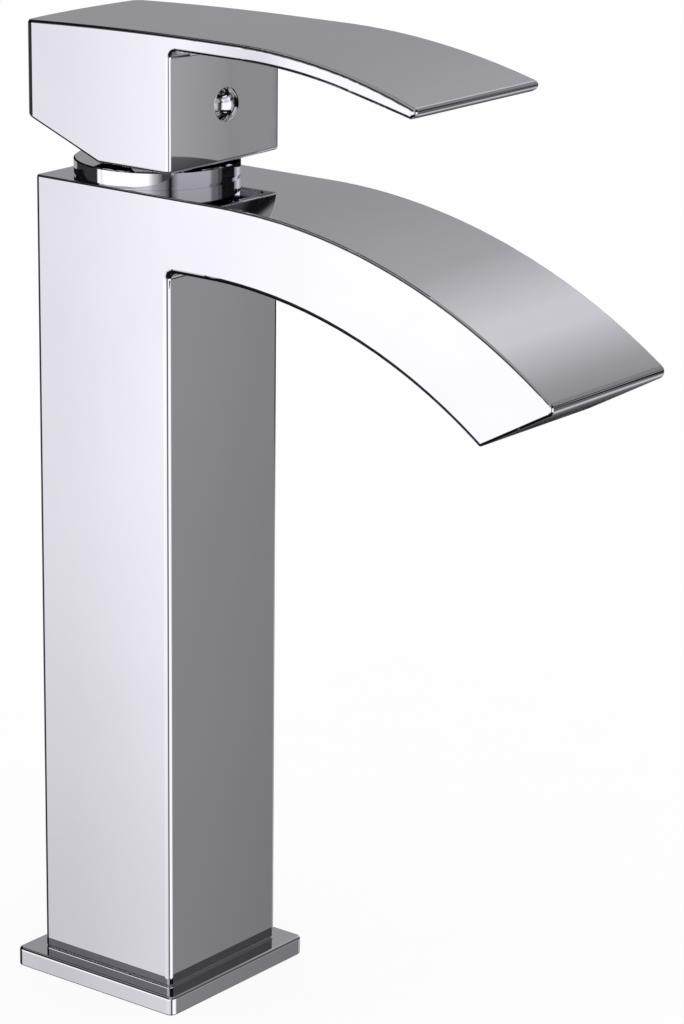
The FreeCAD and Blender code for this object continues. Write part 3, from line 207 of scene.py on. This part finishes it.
# %% Cards around the object
cards = {
    "left soft box": card(
        (around(-100), [(-41, 0), (-38.5, 1.1), (-33.8, 1.1), (-33, 0.86), (-32.3, 0.86), (-29.5, 1.14),
                        (38, 1.14), (46, 0.5), (58, 0)]),
        [(-36, 0), (-29, 0.66), (-23, 0.735), (-17, 0.955), (-12, 1), (8, 1), (14, 0.03), (19.5, 0.03),
         (20.5, 0.17), (26, 0.16), (28, 0)]),
    "right soft box": card(
        (azimuth, [(-31, 0), (-27, 0.5), (-20, 1.1), (27, 1.1), (32, 0.48), (34, 0.4), (41, 0.4), (43.5, 0)]),
        [(-36, 0), (-30, 1), (8, 1), (14, 0)]),
    "grey card": card(
        (around(50), [(-9, 0), (-6.5, 0.38), (-3, 0.315), (0, 0.276), (1, 0.25), (2.5, 0.215), (3.8, 0)]),
        [(-36, 0), (-29, 0.78), (-23, 0.82), (-14, 1), (-11, 1.07), (-7.5, 1.07), (-4, 0.4), (9, 0.2),
         (23, 0.22), (33, 0)]),
    "grey card's upper right end": card(
        (azimuth, [(50.8, 0), (52.5, 0.05), (53.8, 0.285), (55.4, 0.285), (56.3, 0)]),
        [(-13.5, 0), (-12.2, 1), (-9.6, 1), (-8.6, 0)]),
    "backdrop": card(
        (around(95), [(-13, 0), (-10, 0.25), (1, 0.655), (5, 0.66), (16.5, 0.395), (30, 0.32), (42, 0.3),
                      (50, 0)]),
        [(1, 0), (5.5, 1), (42, 1), (50, 0)]),
    "backdrop's right end": card(
        (azimuth, [(56, 0), (56.6, 0.23), (82, 0.24), (85, 0)]),
        [(12.5, 0), (13.5, 1), (42, 1), (50, 0)]),
    "strip beside it": card(
        (azimuth, [(53, 0), (53.6, 0.3), (56, 0.3), (57, 0)]),
        [(3, 0), (4, 1), (9, 1), (10, 0)]),
    "low card behind the lip": card(
        (azimuth, [(55.5, 0), (58, 0.2), (63, 0.25), (68, 0.72), (84, 0.34), (103, 0.14), (122, 0.09),
                   (130, 0)]),
        [(-44, 0), (-38, 1), (-17, 1), (-15, 0)]),
    "ceiling": profile(elevation, [(47, 0), (53, 0.3)]),
    "fill behind": card(
        (around(180), [(-53, 0), (-46, 0.4), (-18, 0.4), (-12, 0.03), (37, 0.03), (42, 0)]),
        [(-42, 0), (-34, 1), (-4, 1), (1, 0)]),
    "fill beside the camera": card(
        (azimuth, [(-58, 0), (-50, 0.05), (-28, 0.05), (-20, 0)]),
        [(-42, 0), (-34, 1), (2, 1), (8, 0)]),
    "fill over the camera": card(
        (azimuth, [(-88, 0), (-78, 0.35), (-40, 0.35), (-32, 0)]),
        [(8, 0), (14, 1), (47, 1), (53, 0)]),
}
DARKEST = 0.006
lit = DARKEST
for level in cards.values():
    lit = math_node("ADD", level, lit)
print("cards:", ", ".join(cards))

# %% [markdown]
# ## White light in the room
# The mixer stands in even white light, at a strength of 1, so that colours look as they are written. The
# camera and the matt surfaces see that white, and only mirrors and clear things see the cards.

# %% Room light
ROOM_LIGHT = 1.0
WHITE = (1, 1, 1, 1)
CARD_TINT = (0.985, 0.98, 1.0, 1)
path = add_node(sky, "ShaderNodeLightPath").outputs
mirror = add_node(sky, "ShaderNodeBackground", {"Color": CARD_TINT, "Strength": lit})
room = add_node(sky, "ShaderNodeBackground", {"Color": WHITE, "Strength": ROOM_LIGHT})


def mix_shaders(tree, share, first, second):
    mixed = add_node(tree, "ShaderNodeMixShader", {"Fac": share})
    tree.links.new(first, mixed.inputs[1])
    tree.links.new(second, mixed.inputs[2])
    return mixed.outputs["Shader"]


seen = math_node("MAXIMUM", path["Is Glossy Ray"], path["Is Transmission Ray"])
surroundings = mix_shaders(sky, seen, room.outputs["Background"], mirror.outputs["Background"])
add_node(sky, "ShaderNodeOutputWorld", {"Surface": surroundings})
print("room light:", ROOM_LIGHT)

# %% [markdown]
# ## White floor
# In the photograph the floor runs into the background without a line. Here the floor is matt paper, and
# the camera sees it mixed with pure white, which leaves only a faint shadow under the base. Mirrors don't
# see the floor, because the lower halves of the cards reach below it.

# %% Floor
FLOOR_WHITE = 0.9
FLOOR_HALF = 4.0
floor_mesh = bpy.data.meshes.new("floor")
corners = [(x * FLOOR_HALF, y * FLOOR_HALF, 0) for x, y in ((-1, -1), (1, -1), (1, 1), (-1, 1))]
floor_mesh.from_pydata(corners, [], [(0, 1, 2, 3)])
floor = bpy.data.objects.new("floor", floor_mesh)
bpy.context.scene.collection.objects.link(floor)
floor.visible_glossy = False
paper = make_finish("paper", (0.9, 0.9, 0.9), (0.93, 0.93, 0.93), 0.0, 0.85, 0.95, 40, 600, 2e-5)
sheet = paper.node_tree
to_camera = add_node(sheet, "ShaderNodeLightPath").outputs["Is Camera Ray"]
share = add_range(sheet, to_camera, 0.0, 1.0, 0.0, FLOOR_WHITE)
glow = add_node(sheet, "ShaderNodeEmission", {"Color": WHITE, "Strength": 1.0})
matt = sheet.nodes["Principled BSDF"].outputs["BSDF"]
blend = mix_shaders(sheet, share, matt, glow.outputs["Emission"])
sheet.links.new(blend, sheet.nodes["Material Output"].inputs["Surface"])
floor_mesh.materials.append(paper)
print("floor of", 2 * FLOOR_HALF, "m")

# %% [markdown]
# ## The camera
# The photograph was taken from the front left and a little above, with a long lens. The place, the turn
# and the lens below come from fitting a pinhole camera to the straight edges of the base, the column and
# the lever. Angles are in degrees, distances in metres.

# %% Camera at the photograph's angle
AZIMUTH, ELEVATION, ROLL = (math.radians(v) for v in (37.7873, 16.7037, 0.6088))
ACROSS, ALONG, DISTANCE = 0.056167, 0.138038, 1.16294
FOCAL_MM, SENSOR_MM = 132.09, 36
level_right = Vector((math.cos(AZIMUTH), math.sin(AZIMUTH), 0))
level_back = Vector((math.sin(AZIMUTH), -math.cos(AZIMUTH), 0))
backward = level_back * math.cos(ELEVATION) + Vector((0, 0, math.sin(ELEVATION)))
level_up = backward.cross(level_right)
right = math.cos(ROLL) * level_right + math.sin(ROLL) * level_up
up = math.cos(ROLL) * level_up - math.sin(ROLL) * level_right
eye = right * ACROSS + up * ALONG + backward * DISTANCE
lens = bpy.data.cameras.new("camera")
lens.lens = FOCAL_MM
lens.sensor_width = SENSOR_MM
camera = bpy.data.objects.new("camera", lens)
camera.matrix_world = Matrix.Translation(eye) @ Matrix((right, up, backward)).transposed().to_4x4()
bpy.context.scene.collection.objects.link(camera)
bpy.context.scene.camera = camera
print("camera at", [round(v, 3) for v in eye])

# %% [markdown]
# ## The view settings
# The picture is shown as it is, with no tone curve.

# %% Finish
bpy.context.scene.view_settings.view_transform = "Standard"
